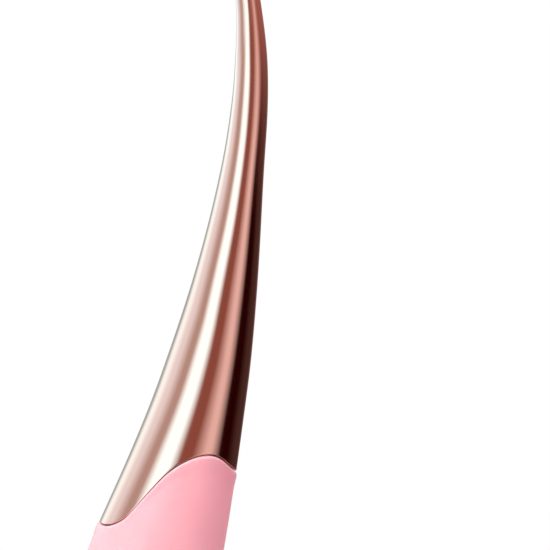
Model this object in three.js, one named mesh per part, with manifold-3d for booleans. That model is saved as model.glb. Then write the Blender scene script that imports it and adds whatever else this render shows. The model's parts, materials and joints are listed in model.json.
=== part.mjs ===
// Electric face cleanser: a soft silicone head that stands on its flat foot, and a slim
// plated handle that grows out of it along a wave-shaped parting line and bends forward.
// Millimetres, +Z up. The foot's centre is the origin, the brush faces -Y, the buttons face +Y.
import * as THREE from "three";
import { mergeVertices } from "three/addons/utils/BufferGeometryUtils.js";
import Module from "manifold-3d";

// Outer form. Lengths run along the centreline from the foot.
const bodyLength = 196;
const headWidth = 32.5;
const headDepth = 29.5;
const headRounding = 18;
const footShare = 0.58;
const bendStart = 70;
const tipLean = THREE.MathUtils.degToRad(30.3);
const tipRoundingWidth = 5.5;
const tipRoundingDepth = 2.6;

// Share of the body's length, then share of the head's width or depth.
const widthShares = [
  [0, 0.97], [0.1, 1], [0.153, 0.938], [0.209, 0.825], [0.306, 0.7], [0.393, 0.642],
  [0.464, 0.615], [0.536, 0.584], [0.607, 0.512], [0.673, 0.45], [0.747, 0.411],
  [0.806, 0.371], [0.867, 0.323], [0.93, 0.285], [1, 0.254],
];
const depthShares = [
  [0, 0.97], [0.1, 1], [0.209, 0.962], [0.306, 0.932], [0.364, 0.9], [0.393, 0.855],
  [0.464, 0.727], [0.523, 0.626], [0.574, 0.552], [0.65, 0.435], [0.727, 0.327],
  [0.778, 0.271], [0.83, 0.238], [0.88, 0.207], [0.932, 0.16], [1, 0.127],
];

// Share of the stretch from bendStart to the tip, then share of the tip's lean.
const leanShares = [
  [0, 0], [0.1, 0.03], [0.25, 0.107], [0.4, 0.203], [0.55, 0.3], [0.7, 0.38], [0.82, 0.61],
  [0.92, 0.83], [1, 1],
];

// Parting line between the silicone and the handle: height at the front, and rise to its crest.
const partingFront = 74.8;
const partingRise = 19.6;
// Share of the half turn from front to back, then share of the rise. The first and last rows
// mirror their neighbours, so that the line is level at the front and at the back.
const partingShares = [
  [-0.09, 0.008], [0, 0], [0.09, 0.008], [0.167, 0.066], [0.225, 0.182], [0.289, 0.457],
  [0.356, 0.704], [0.437, 0.872], [0.533, 0.976], [0.633, 1], [0.8, 0.915], [1, 0.86],
  [1.2, 0.915],
];

// Walls, gaps and cuts.
const fitGap = 0.3;
const partingGap = 0.5;
const splitGap = 0.3;
const runningGap = 0.15;
const overrun = 2;
const sleeveWall = 2.2;
const sleeveFloor = 3;
const sleeveLip = 0.6;
const handleWall = 2;
const handleEdge = 0.35;
const handleCavityShare = 0.765;
const frameWall = 1.5;
const frameTongue = 24;

// Brush: an oval pad of silicone with rows of soft nubs.
const brushHeight = 33;
const brushWidth = 23;
const brushCentre = 22;
const brushPadThickness = 0.9;
const nubPitch = 1.4;
const nubHeight = 1.7;
const nubTipShare = 0.62;
const nubFieldShare = 0.9;

// Massage ridges on the back of the head.
const ridgeCount = 5;
const ridgeFirst = 10;
const ridgePitch = 4.4;
const ridgeHeight = 0.9;
const ridgeHalfWidth = 1.3;
const ridgeLength = 17;

// Motor with its eccentric weight, on the head's axis.
const motorRadius = 6;
const motorLength = 16;
const motorBossRadius = 2.6;
const motorBossHeight = 1.2;
const motorBellHeight = 2;
const shaftRadius = 1;
const shaftGrip = 6;
const weightRadius = 5;
const weightLength = 5;
const weightHubRadius = 2.2;
const weightFloorGap = 2;
const weightSweep = THREE.MathUtils.degToRad(150);
const grommetWall = 1.2;
const grommetFlange = 1;
const grommetFlangeThickness = 0.8;
const saddleThickness = 2;
const saddleInset = 2.4;

// Battery cell and what holds it. The cell ends just above the board.
const cellRadius = 4.75;
const cellCapRadius = 1.6;
const cellCapHeight = 0.7;
const wiringRoom = 8.5;
const ribThickness = 1.2;
const ribInset = 3;
const foamThickness = 0.8;
const foamWidth = 6;

// Control board and its parts. Heights are along Z.
const boardThickness = 1;
const boardStandoff = 3.2;
const boardEdgeGap = 0.4;
const boardFootRoom = 2;
const boardTopRoom = 4.9;
const cellTopRoom = 1;
const switchWidth = 4.2;
const switchHeight = 1.5;
const plungerRadius = 0.9;
const plungerHeight = 0.4;
const chipWidth = 4;
const chipHeight = 0.9;
const ledWidth = 1.6;
const ledHeight = 0.8;

// Charging contacts, buttons and indicator on the back, one above the other from the board's foot.
const powerRadius = 5;
const modeRadius = 4;
const buttonProud = 0.5;
const buttonDepth = 1;
const buttonTravel = 0.5;
const pressGap = 0.1;
const stemRadius = 1.8;
const gasketThickness = 0.5;
const windowRadius = 1.2;
const contactSpacing = 6;
const contactRadius = 1.6;
const contactFootRoom = 1.3;
const contactTopRoom = 4.9;
const buttonSpacing = 4;
const windowSpacing = 2.8;
const contactPinRadius = 0.9;
const contactRecess = 0.3;

// Screws that close the frame, and the seal at its neck.
const screwShankRadius = 0.95;
const screwTipWall = 1.4;
const screwHeadRadius = 1.7;
const screwHeadHeight = 1.2;
const screwHeadRecess = 0.6;
const screwSlotWidth = 0.5;
const screwSlotDepth = 0.4;
const bossWall = 1;
const lowerScrewHeight = 10;
const lowerScrewShare = 0.4;
const upperScrewRoom = 5;
const upperScrewSpread = 4;
const sealSpacing = 0.4;
const sealBreadth = 1.2;
const sealThickness = 0.6;

// Leads.
const leadRadius = 0.5;
const leadSpread = 2.4;

// Facets.
const bodySides = 32;
const frameSides = 24;
const handleRings = 19;
const handleInnerRings = 4;
const sleeveRings = 12;
const sleeveInnerRings = 7;
const frameRings = 8;
const brushSides = 24;
const roundSides = 16;
const screwSides = 12;
const ridgeSteps = 6;
const ridgeSides = 5;
const leadSteps = 8;
const seekSteps = 12;

// Colours and finishes.
const finishes = {
  plating: { color: 0xd99a86, roughness: 0.08, metalness: 1 },
  silicone: { color: 0xf6b6c1, roughness: 0.45, metalness: 0 },
  frame: { color: 0xe9e4dc, roughness: 0.5, metalness: 0 },
  steel: { color: 0xb9bcc0, roughness: 0.3, metalness: 1 },
  gold: { color: 0xd8b25a, roughness: 0.25, metalness: 1 },
  tungsten: { color: 0x6d7075, roughness: 0.4, metalness: 1 },
  rubber: { color: 0x2a2a2c, roughness: 0.8, metalness: 0 },
  cellWrap: { color: 0x2f6fb0, roughness: 0.4, metalness: 0 },
  board: { color: 0x1f6b3f, roughness: 0.5, metalness: 0 },
  black: { color: 0x151517, roughness: 0.5, metalness: 0 },
  red: { color: 0xc22a24, roughness: 0.5, metalness: 0 },
  foam: { color: 0x55565a, roughness: 0.9, metalness: 0 },
  clear: { color: 0xf4f4f0, roughness: 0.15, metalness: 0 },
};

// Smooth curve through the rows of a table.
function smoothTable(rows) {
  const slopes = rows.map((row, i) => {
    const before = rows[Math.max(i - 1, 0)];
    const after = rows[Math.min(i + 1, rows.length - 1)];
    return (after[1] - before[1]) / (after[0] - before[0]);
  });
  return (x) => {
    let i = 0;
    while (i < rows.length - 2 && x > rows[i + 1][0]) i += 1;
    const [x0, y0] = rows[i];
    const [x1, y1] = rows[i + 1];
    const span = x1 - x0;
    const t = THREE.MathUtils.clamp((x - x0) / span, 0, 1);
    const ease = t * t * (3 - 2 * t);
    const bend = t * (1 - t) * span;
    return y0 + (y1 - y0) * ease + bend * (slopes[i] * (1 - t) - slopes[i + 1] * t);
  };
}

const widthAlong = smoothTable(widthShares);
const depthAlong = smoothTable(depthShares);
const partingRound = smoothTable(partingShares);
const leanAlong = smoothTable(leanShares);

// Share of the section that is left where the tip rounds off.
function tipClosing(s, rounding) {
  const t = Math.max(0, (s - bodyLength + rounding) / rounding);
  return Math.sqrt(Math.max(0, 1 - t * t));
}

// Half width and half depth of the body's oval section at s along the centreline.
function sectionAt(s) {
  const rise = THREE.MathUtils.clamp(s / headRounding, 0, 1);
  const foot = footShare + (1 - footShare) * Math.sqrt(1 - (1 - rise) ** 2);
  const share = s / bodyLength;
  return {
    halfWidth: (headWidth / 2) * widthAlong(share) * foot * tipClosing(s, tipRoundingWidth),
    halfDepth: (headDepth / 2) * depthAlong(share) * foot * tipClosing(s, tipRoundingDepth),
  };
}

// Forward lean of the centreline at s: none below bendStart, then ever more up to the tip.
function leanAt(s) {
  return tipLean * leanAlong((s - bendStart) / (bodyLength - bendStart));
}

const centreSteps = 300;
const centreline = [new THREE.Vector3()];
for (let i = 0; i < centreSteps; i++) {
  const step = bodyLength / centreSteps;
  const lean = leanAt((i + 1 / 2) * step);
  const move = new THREE.Vector3(0, -Math.sin(lean), Math.cos(lean)).multiplyScalar(step);
  centreline.push(centreline[i].clone().add(move));
}

function centrePoint(s) {
  const at = THREE.MathUtils.clamp((s / bodyLength) * centreSteps, 0, centreSteps);
  const i = Math.min(Math.floor(at), centreSteps - 1);
  return centreline[i].clone().lerp(centreline[i + 1], at - i);
}

// Point of the body's surface, or of one inset into it. Angle 0 is the front, growing towards +X.
function bodyPoint(s, angle, inset) {
  const { halfWidth, halfDepth } = sectionAt(s);
  const lean = leanAt(s);
  const back = -Math.max(0, halfDepth - inset) * Math.cos(angle);
  const offset = new THREE.Vector3(
    Math.max(0, halfWidth - inset) * Math.sin(angle),
    back * Math.cos(lean),
    back * Math.sin(lean),
  );
  return centrePoint(s).add(offset);
}

// Parting line's place along the centreline, at an angle round the body.
function partingAt(angle) {
  const turn = Math.abs(Math.atan2(Math.sin(angle), Math.cos(angle))) / Math.PI;
  return partingFront + partingRise * partingRound(turn);
}

// Loop of points round the body, at a place along it that may change with the angle.
function ring(placeAt, inset, sides = bodySides) {
  return Array.from({ length: sides }, (_, k) => {
    const angle = (2 * Math.PI * k) / sides;
    return bodyPoint(placeAt(angle), angle, inset);
  });
}

// Rings crowd towards the rounded foot and the rounded tip by these powers.
const footCrowding = 1.5;
const tipCrowding = 1.6;

// Closed surface through loops of equal length, drawn to a point at each end.
function loft(start, rings, end) {
  const sides = rings[0].length;
  const points = [start, ...rings.flat(), end];
  const at = (row, k) => 1 + row * sides + (k % sides);
  const faces = [];
  for (let k = 0; k < sides; k++) {
    faces.push([0, at(0, k + 1), at(0, k)]);
    for (let row = 0; row + 1 < rings.length; row++) {
      faces.push([at(row, k), at(row, k + 1), at(row + 1, k + 1)]);
      faces.push([at(row, k), at(row + 1, k + 1), at(row + 1, k)]);
    }
    faces.push([points.length - 1, at(rings.length - 1, k), at(rings.length - 1, k + 1)]);
  }
  const volume = faces.reduce((sum, [a, b, c]) => {
    return sum + points[a].dot(points[b].clone().cross(points[c]));
  }, 0);
  if (volume < 0) faces.forEach((face) => face.reverse());
  return new THREE.BufferGeometry().setFromPoints(points).setIndex(faces.flat());
}

// Stretch of the body, or of a form inset into it, between two level ends.
function slab(low, high, inset, rows = 1, sides = bodySides) {
  const rings = Array.from({ length: rows + 1 }, (_, i) => {
    const s = low + (high - low) * (i / rows) ** footCrowding;
    return ring(() => s, inset, sides);
  });
  return loft(centrePoint(low), rings, centrePoint(high));
}

const wasm = await Module();
wasm.setup();

// Solid of a closed geometry, for joining and cutting.
function solid(geometry) {
  const bare = new THREE.BufferGeometry();
  bare.setAttribute("position", geometry.getAttribute("position"));
  bare.setIndex(geometry.index);
  const merged = mergeVertices(bare);
  const mesh = new wasm.Mesh({
    numProp: 3,
    vertProperties: merged.getAttribute("position").array,
    triVerts: Uint32Array.from(merged.index.array),
  });
  return new wasm.Manifold(mesh);
}

function geometryOf(manifold) {
  const mesh = manifold.getMesh();
  const geometry = new THREE.BufferGeometry();
  geometry.setAttribute("position", new THREE.BufferAttribute(mesh.vertProperties, 3));
  geometry.setIndex(new THREE.BufferAttribute(mesh.triVerts, 1));
  return geometry;
}

const join = (solids) => solids.reduce((sum, next) => sum.add(next));

// Round bar along Y, from one y to another.
function barY(radius, x, fromY, toY, z, sides = roundSides) {
  const bar = new THREE.CylinderGeometry(radius, radius, toY - fromY, sides);
  return bar.translate(x, (fromY + toY) / 2, z);
}

// Round bar along Z, from one z to another.
function barZ(radius, y, fromZ, toZ) {
  const bar = new THREE.CylinderGeometry(radius, radius, toZ - fromZ, roundSides);
  return bar.rotateX(Math.PI / 2).translate(0, y, (fromZ + toZ) / 2);
}

// Box given by its lowest and highest corners.
function block(x0, y0, z0, x1, y1, z1) {
  const box = new THREE.BoxGeometry(x1 - x0, y1 - y0, z1 - z0);
  return box.translate((x0 + x1) / 2, (y0 + y1) / 2, (z0 + z1) / 2);
}

// Places that follow from the sizes above.
const frameInset = sleeveWall + fitGap;
const frameInnerInset = frameInset + frameWall;
const frameBottom = sleeveFloor + fitGap;
const frameTop = partingFront + partingRise + frameTongue;
const weightBase = frameBottom + frameWall + weightFloorGap;
const motorBossBase = weightBase + weightLength + fitGap;
const motorBase = motorBossBase + motorBossHeight;
const motorTop = motorBase + motorLength;
const bellTop = motorTop + fitGap + motorBellHeight;
const boardBottom = bellTop + boardFootRoom;
const contactHeight = boardBottom + contactFootRoom + contactRadius;
const modeHeight = contactHeight + contactRadius + contactTopRoom + modeRadius;
const powerHeight = modeHeight + modeRadius + buttonSpacing + powerRadius;
const windowHeight = powerHeight + powerRadius + windowSpacing + windowRadius;
const sealLow = windowHeight + windowRadius + fitGap + sealSpacing + fitGap;
const sealHigh = sealLow + sealBreadth;
const boardTop = windowHeight + windowRadius + boardTopRoom;
const cellBase = bellTop + wiringRoom;
const cellTop = boardTop + cellTopRoom;
const cellLength = cellTop - cellBase;
const upperScrewHeight = cellTop + upperScrewRoom + screwHeadRadius;
const farBack = headDepth;

// Y of a form inset into the body, at a height and a distance from the middle plane, on the back
// for side 1 and on the front for side -1. The lean moves a section's edges up or down, so the
// place along the body is found step by step.
function wallY(side, z, x, inset) {
  let s = z;
  let point = centrePoint(s);
  for (let i = 0; i < seekSteps; i++) {
    const turn = Math.asin(x / (sectionAt(s).halfWidth - inset));
    point = bodyPoint(s, side > 0 ? Math.PI - turn : turn, inset);
    s += z - point.z;
  }
  return point.y;
}

const boardBackY = wallY(1, powerHeight, 0, frameInnerInset) - boardStandoff;
const boardFrontY = boardBackY - boardThickness;
const cellY = boardFrontY - fitGap - foamThickness - fitGap - cellRadius;
const boardHalfWidth = boardRoom() - boardEdgeGap;
const stemTipY = boardBackY + switchHeight + plungerHeight + buttonTravel + pressGap;

// Half width that the frame leaves for the board at its narrowest end.
function boardRoom() {
  const { halfWidth, halfDepth } = sectionAt(boardTop);
  const share = (boardBackY - centrePoint(boardTop).y) / (halfDepth - frameInnerInset);
  return (halfWidth - frameInnerInset) * Math.sqrt(1 - share * share);
}

// Plated shell: inner wall down to the parting line, rounded edge, outer wall up to the tip.
function handleShell() {
  const cavityTop = handleCavityShare * bodyLength;
  const rim = (angle) => partingAt(angle) + partingGap / 2;
  const rings = [];
  for (let i = handleInnerRings; i >= 0; i--) {
    const share = i / handleInnerRings;
    rings.push(ring((a) => rim(a) + (cavityTop - rim(a)) * share, handleWall));
  }
  rings.push(ring(rim, handleEdge));
  for (let i = 0; i < handleRings; i++) {
    const share = 1 - (1 - i / handleRings) ** tipCrowding;
    const low = (a) => rim(a) + handleEdge;
    rings.push(ring((a) => low(a) + (bodyLength - low(a)) * share, 0));
  }
  return loft(centrePoint(cavityTop), rings, centrePoint(bodyLength));
}

// Bare sleeve: inner wall up to the parting line, rounded lip, outer wall down to the foot.
function sleeveShell() {
  const rim = (angle) => partingAt(angle) - partingGap / 2;
  const rings = [];
  for (let i = 0; i <= sleeveInnerRings; i++) {
    const share = (i / sleeveInnerRings) ** footCrowding;
    rings.push(ring((a) => sleeveFloor + (rim(a) - sleeveFloor) * share, sleeveWall));
  }
  rings.push(ring(rim, sleeveLip));
  for (const turn of [Math.PI / 6, Math.PI / 3]) {
    const drop = sleeveLip * (1 - Math.cos(turn));
    rings.push(ring((a) => rim(a) - drop, sleeveLip * (1 - Math.sin(turn))));
  }
  for (let i = sleeveRings; i >= 0; i--) {
    const share = (i / sleeveRings) ** footCrowding;
    rings.push(ring((a) => (rim(a) - sleeveLip) * share, 0));
  }
  return loft(centrePoint(sleeveFloor), rings, centrePoint(0));
}

// Unit vector that points out of the body's surface.
function outwardAt(s, angle) {
  const turn = Math.PI / bodySides;
  const alongRing = bodyPoint(s, angle + turn, 0).sub(bodyPoint(s, angle - turn, 0));
  const alongBody = bodyPoint(s + nubPitch, angle, 0).sub(bodyPoint(s - nubPitch, angle, 0));
  return alongRing.cross(alongBody).normalize();
}

// Oval bar that reaches out through the front of the head, wider than the brush by a margin.
function brushBar(margin) {
  const bar = new THREE.CylinderGeometry(1, 1, farBack, brushSides);
  bar.scale(brushWidth / 2 + margin, 1, brushHeight / 2 + margin);
  return solid(bar.translate(0, -farBack / 2, brushCentre));
}

// Skin of the brush: a lattice of small triangles on the front of the head. One upright triangle
// in three is drawn out into a tapered nub, and the open edges are closed to a point inside.
function brushSkin() {
  const cell = nubPitch / Math.sqrt(3);
  const rise = (cell * Math.sqrt(3)) / 2;
  const radius = sectionAt(brushCentre).halfWidth;
  const arc = 2 * radius * Math.asin(brushWidth / 2 / radius);
  const rows = 4 * Math.ceil((brushHeight / rise + 2) / 4);
  const columns = 4 * Math.ceil((arc / cell + 2) / 4);
  const points = [];
  const faces = [];
  const id = (i, j) => j * (columns + 1) + i;
  for (let j = 0; j <= rows; j++) {
    for (let i = 0; i <= columns; i++) {
      const x = (i - columns / 2 + (j % 2) / 2) * cell;
      points.push(bodyPoint(brushCentre + (j - rows / 2) * rise, x / radius, 0));
    }
  }
  const addNub = (base) => {
    const middle = new THREE.Vector3();
    base.forEach((k) => middle.addScaledVector(points[k], 1 / base.length));
    const top = outwardAt(middle.z, Math.asin(middle.x / radius)).multiplyScalar(nubHeight);
    const first = points.length;
    base.forEach((k) => {
      points.push(middle.clone().lerp(points[k], nubTipShare).add(top));
    });
    base.forEach((k, side) => {
      const next = (side + 1) % base.length;
      faces.push([k, base[next], first + next], [k, first + next, first + side]);
    });
    faces.push([first, first + 1, first + 2]);
  };
  const bearsNub = (i, j) => {
    if ((i - Math.floor(j / 2) - j + 3 * rows) % 3 !== 0) return false;
    const { x, z } = points[id(i, j)];
    return Math.hypot((2 * x) / brushWidth, (2 * (z - brushCentre)) / brushHeight) < nubFieldShare;
  };
  for (let j = 0; j < rows; j++) {
    for (let i = 0; i < columns; i++) {
      const [a, b, c, d] = [id(i, j), id(i + 1, j), id(i + 1, j + 1), id(i, j + 1)];
      const odd = j % 2 === 1;
      const upright = odd ? [a, b, c] : [a, b, d];
      faces.push(odd ? [a, c, d] : [b, c, d]);
      if (bearsNub(i, j)) addNub(upright);
      else faces.push(upright);
    }
  }
  return closedToPoint(points, faces, centrePoint(brushCentre));
}

// Solid from a sheet of faces, each of its open edges joined to one point.
function closedToPoint(points, faces, apex) {
  const key = (a, b) => `${a} ${b}`;
  const edges = new Map();
  for (const [a, b, c] of faces) {
    edges.set(key(a, b), [a, b]);
    edges.set(key(b, c), [b, c]);
    edges.set(key(c, a), [c, a]);
  }
  const sides = [...edges.values()]
    .filter(([a, b]) => !edges.has(key(b, a)))
    .map(([a, b]) => [b, a, points.length]);
  const geometry = new THREE.BufferGeometry().setFromPoints([...points, apex]);
  return solid(geometry.setIndex([...faces, ...sides].flat()));
}

// Inside of the head, behind the brush, at an inset.
function brushCore(inset) {
  return solid(slab(0, brushCentre + brushHeight, inset, sleeveInnerRings));
}

function brushPad() {
  const pad = brushSkin().intersect(brushBar(0));
  return geometryOf(pad.subtract(brushCore(brushPadThickness)));
}

// Low rounded ridge across the back of the head, at s.
function ridge(s) {
  const span = ridgeLength / 2 / sectionAt(s).halfWidth;
  const at = (share) => Math.PI + span * share;
  const rings = [];
  for (let i = 1; i < ridgeSteps; i++) {
    const share = Math.cos((Math.PI * i) / ridgeSteps);
    const swell = Math.sqrt(1 - share * share);
    rings.push(
      Array.from({ length: ridgeSides }, (_, k) => {
        const turn = (2 * Math.PI * k) / ridgeSides;
        const along = s + ridgeHalfWidth * swell * Math.cos(turn);
        return bodyPoint(along, at(share), -ridgeHeight * swell * Math.sin(turn));
      }),
    );
  }
  return loft(bodyPoint(s, at(1), 0), rings, bodyPoint(s, at(-1), 0));
}

// Round openings through the back, each with its place and radius.
const contactPlaces = [-contactSpacing / 2, contactSpacing / 2];
const sleeveOpenings = [
  { x: 0, z: powerHeight, radius: powerRadius + fitGap },
  { x: 0, z: modeHeight, radius: modeRadius + fitGap },
  { x: 0, z: windowHeight, radius: windowRadius + fitGap },
  ...contactPlaces.map((x) => ({ x, z: contactHeight, radius: contactRadius + fitGap })),
];
const frameOpenings = [
  { x: 0, z: powerHeight, radius: stemRadius + fitGap },
  { x: 0, z: modeHeight, radius: stemRadius + fitGap },
  { x: 0, z: windowHeight, radius: windowRadius + fitGap },
  ...contactPlaces.map((x) => ({ x, z: contactHeight, radius: contactPinRadius + fitGap })),
];

function siliconeSleeve() {
  const pocket = brushBar(fitGap).subtract(brushCore(brushPadThickness + fitGap));
  let sleeve = solid(sleeveShell()).subtract(pocket);
  for (let i = 0; i < ridgeCount; i++) {
    sleeve = sleeve.add(solid(ridge(ridgeFirst + i * ridgePitch)));
  }
  for (const { x, z, radius } of sleeveOpenings) {
    sleeve = sleeve.subtract(solid(barY(radius, x, boardBackY, farBack, z)));
  }
  return geometryOf(sleeve);
}

// Screws of the frame, with the y of the seat under each head and the depth behind it. The lower
// ones stand between the eccentric weight and the frame's side, at a share of that room, and all
// are as long as the shallowest place lets.
const bossRadius = screwHeadRadius + fitGap + bossWall;
const frameSideX = sectionAt(lowerScrewHeight).halfWidth - frameInset;
const weightRoomX = weightRadius + fitGap;
const lowerScrewSpread = weightRoomX + (frameSideX - weightRoomX) * lowerScrewShare;
const screwPlaces = [
  { x: -lowerScrewSpread, z: lowerScrewHeight },
  { x: lowerScrewSpread, z: lowerScrewHeight },
  { x: -upperScrewSpread, z: upperScrewHeight },
  { x: upperScrewSpread, z: upperScrewHeight },
].map(({ x, z }) => {
  const reach = Math.abs(x) + screwHeadRadius;
  const lowEdgeY = wallY(1, z - screwHeadRadius, reach, frameInset);
  const highEdgeY = wallY(1, z + screwHeadRadius, reach, frameInset);
  const seatY = Math.min(lowEdgeY, highEdgeY) - screwHeadHeight - screwHeadRecess;
  return { x, z, seatY, depth: seatY - wallY(-1, z, reach, frameInset) };
});
const screwShankLength = Math.min(...screwPlaces.map(({ depth }) => depth)) - screwTipWall;

// Plate across the frame at a height, between two y.
function plate(z, thickness, fromY, toY) {
  const half = headWidth / 2;
  return solid(block(-half, fromY, z - thickness / 2, half, toY, z + thickness / 2));
}

const grommetOuter = motorRadius + fitGap + grommetWall;
const saddleHeights = [
  motorBase + saddleInset + saddleThickness / 2,
  motorTop - saddleInset - saddleThickness / 2,
];
const ribHeights = [cellBase + ribInset, cellTop - ribInset];

// Saddles, ribs, shelves and screw bosses inside the frame, as one solid.
function frameInside() {
  const saddles = saddleHeights.map((z) => plate(z, saddleThickness, -farBack, farBack));
  const ribs = ribHeights.map((z) => plate(z, ribThickness, -farBack, farBack));
  const shelves = [
    plate(cellBase - fitGap - ribThickness / 2, ribThickness, -farBack, 0),
    plate(cellTop + fitGap + ribThickness / 2, ribThickness, -farBack, cellY - cellCapRadius),
  ];
  const bosses = screwPlaces.map(({ x, z }) => solid(barY(bossRadius, x, -farBack, farBack, z)));
  return join([...saddles, ...ribs, ...shelves, ...bosses]);
}

// Everything that is cut out of the frame.
function frameCuts() {
  const slot = boardHalfWidth + fitGap;
  const channel = switchWidth / 2 + fitGap;
  const cuts = [
    barZ(weightRoomX, 0, weightBase - fitGap, motorBossBase),
    barZ(grommetOuter + fitGap, 0, motorBase, motorTop),
    barZ(cellRadius + fitGap, cellY, cellBase - fitGap, cellTop + fitGap),
    block(-slot, boardFrontY - fitGap, boardBottom - fitGap, slot, boardBackY + fitGap,
      boardTop + fitGap),
    block(-channel, boardBackY, boardBottom, channel, stemTipY + fitGap, boardTop),
  ];
  for (const z of saddleHeights) {
    const near = saddleThickness / 2;
    const far = near + fitGap + grommetFlangeThickness + fitGap;
    cuts.push(barZ(grommetOuter + grommetFlange + fitGap, 0, z + near, z + far));
    cuts.push(barZ(grommetOuter + grommetFlange + fitGap, 0, z - far, z - near));
  }
  for (const { x, z, radius } of frameOpenings) {
    cuts.push(barY(radius, x, boardBackY, farBack, z));
  }
  for (const { x, z, seatY } of screwPlaces) {
    const tipY = seatY - screwShankLength - fitGap;
    cuts.push(barY(screwShankRadius + fitGap, x, tipY, farBack, z));
    cuts.push(barY(screwHeadRadius + fitGap, x, seatY, farBack, z));
  }
  return join(cuts.map(solid));
}

// Ring round the body between two places and two insets.
function band(low, high, outerInset, innerInset) {
  const core = slab(low - overrun, high + overrun, innerInset, 1, frameSides);
  return solid(slab(low, high, outerInset, 1, frameSides)).subtract(solid(core));
}

function frameHalf(side) {
  const outer = solid(slab(frameBottom, frameTop, frameInset, frameRings, frameSides));
  const hollow = solid(
    slab(frameBottom + frameWall, frameTop - frameWall, frameInnerInset, frameRings, frameSides),
  );
  const midWall = frameWall / 2;
  const trim = solid(
    slab(frameBottom + midWall, frameTop - midWall, frameInset + midWall, frameRings, frameSides),
  );
  const groove = band(
    sealLow - fitGap, sealHigh + fitGap, frameInset - overrun, frameInset + sealThickness + fitGap,
  );
  const whole = outer.subtract(hollow).add(frameInside().intersect(trim));
  const nearY = (side * splitGap) / 2;
  const ends = [nearY, side * farBack * 2].sort((a, b) => a - b);
  const keep = block(-headWidth, ends[0], 0, headWidth, ends[1], bodyLength);
  const made = whole.subtract(frameCuts()).subtract(groove).intersect(solid(keep));
  return geometryOf(made);
}

function sealRing() {
  return geometryOf(band(sealLow, sealHigh, frameInset, frameInset + sealThickness));
}

// Slotted screw with its head's seat at the origin and its shank along -Y.
function screw() {
  const profile = [
    [0, -screwShankLength],
    [screwShankRadius / 2, -screwShankLength],
    [screwShankRadius, screwShankRadius - screwShankLength],
    [screwShankRadius, 0],
    [screwHeadRadius, 0],
    [screwHeadRadius, screwHeadHeight - screwSlotDepth],
    [screwHeadRadius - screwSlotDepth, screwHeadHeight],
    [0, screwHeadHeight],
  ].map(([x, y]) => new THREE.Vector2(x, y));
  const body = solid(new THREE.LatheGeometry(profile, screwSides));
  const slot = block(
    -screwHeadRadius, screwHeadHeight - screwSlotDepth, -screwSlotWidth / 2,
    screwHeadRadius, screwHeadHeight + screwSlotDepth, screwSlotWidth / 2,
  );
  return geometryOf(body.subtract(solid(slot)));
}

// Turned piece along Z from its profile of radius and height.
function turned(profile) {
  const points = profile.map(([radius, z]) => new THREE.Vector2(radius, z));
  return new THREE.LatheGeometry(points, roundSides).rotateX(Math.PI / 2);
}

// Motor can with its bearing boss down and a blind bore for the shaft.
function motorCan() {
  const bore = shaftRadius + runningGap;
  const depth = motorBossHeight + shaftGrip;
  return turned([
    [0, depth], [bore, depth], [bore, 0], [motorBossRadius, 0],
    [motorBossRadius, motorBossHeight], [motorRadius, motorBossHeight],
    [motorRadius, motorBossHeight + motorLength], [0, motorBossHeight + motorLength],
  ]);
}

// Plastic end bell with a raised middle.
function motorBell() {
  const skirt = motorBellHeight / 2;
  return turned([
    [0, 0], [motorRadius, 0], [motorRadius, skirt], [motorBossRadius, skirt],
    [motorBossRadius, motorBellHeight], [0, motorBellHeight],
  ]);
}

function motorShaft() {
  const length = weightLength + fitGap + motorBossHeight + shaftGrip - fitGap;
  return barZ(shaftRadius, 0, 0, length);
}

// Eccentric weight: a sector of a disc round a bored hub.
function eccentricWeight() {
  const half = weightSweep / 2;
  const shape = new THREE.Shape();
  shape.absarc(0, 0, weightRadius, -half, half, false);
  shape.absarc(0, 0, weightHubRadius, half, 2 * Math.PI - half, false);
  shape.closePath();
  const bore = new THREE.Path();
  bore.absarc(0, 0, shaftRadius + runningGap, 0, 2 * Math.PI, true);
  shape.holes.push(bore);
  return new THREE.ExtrudeGeometry(shape, {
    depth: weightLength, bevelEnabled: false, curveSegments: roundSides / 2,
  });
}

// Rubber ring that grips the motor and straddles a saddle.
function grommet() {
  const inner = motorRadius + fitGap;
  const flange = grommetOuter + grommetFlange;
  const half = saddleThickness / 2 + fitGap;
  const end = half + grommetFlangeThickness;
  return turned([
    [inner, -end], [flange, -end], [flange, -half], [grommetOuter, -half],
    [grommetOuter, half], [flange, half], [flange, end], [inner, end], [inner, -end],
  ]);
}

// Battery cell with its raised positive cap.
function batteryCell() {
  const round = cellCapHeight / 2;
  return turned([
    [0, 0], [cellRadius - round, 0], [cellRadius, round], [cellRadius, cellLength - round],
    [cellRadius - round, cellLength], [cellCapRadius, cellLength],
    [cellCapRadius, cellLength + cellCapHeight], [0, cellLength + cellCapHeight],
  ]);
}

function tactSwitch() {
  const half = switchWidth / 2;
  const body = block(-half, 0, -half, half, switchHeight, half);
  const plunger = barY(plungerRadius, 0, switchHeight / 2, switchHeight + plungerHeight, 0);
  return geometryOf(solid(body).add(solid(plunger)));
}

// Button: a cap that follows the sleeve's surface, on a stem that reaches for its switch.
function button(z, radius) {
  const low = z - radius - overrun;
  const high = z + radius + overrun;
  const skin = solid(slab(low, high, -buttonProud));
  const under = solid(slab(low - overrun, high + overrun, buttonDepth));
  const cap = skin.subtract(under).intersect(solid(barY(radius, 0, stemTipY, farBack, z)));
  const stem = solid(barY(stemRadius, 0, stemTipY, farBack, z)).intersect(skin);
  return geometryOf(cap.add(stem));
}

// Soft ring round a stem, lying on the frame under the cap.
function buttonGasket(z, radius) {
  const low = z - radius - overrun;
  const high = z + radius + overrun;
  const skin = solid(slab(low, high, sleeveWall - gasketThickness));
  const under = solid(slab(low - overrun, high + overrun, sleeveWall));
  const disc = skin.subtract(under).intersect(solid(barY(radius, 0, boardBackY, farBack, z)));
  const hole = solid(barY(stemRadius + fitGap, 0, boardBackY, farBack, z));
  return geometryOf(disc.subtract(hole));
}

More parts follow.
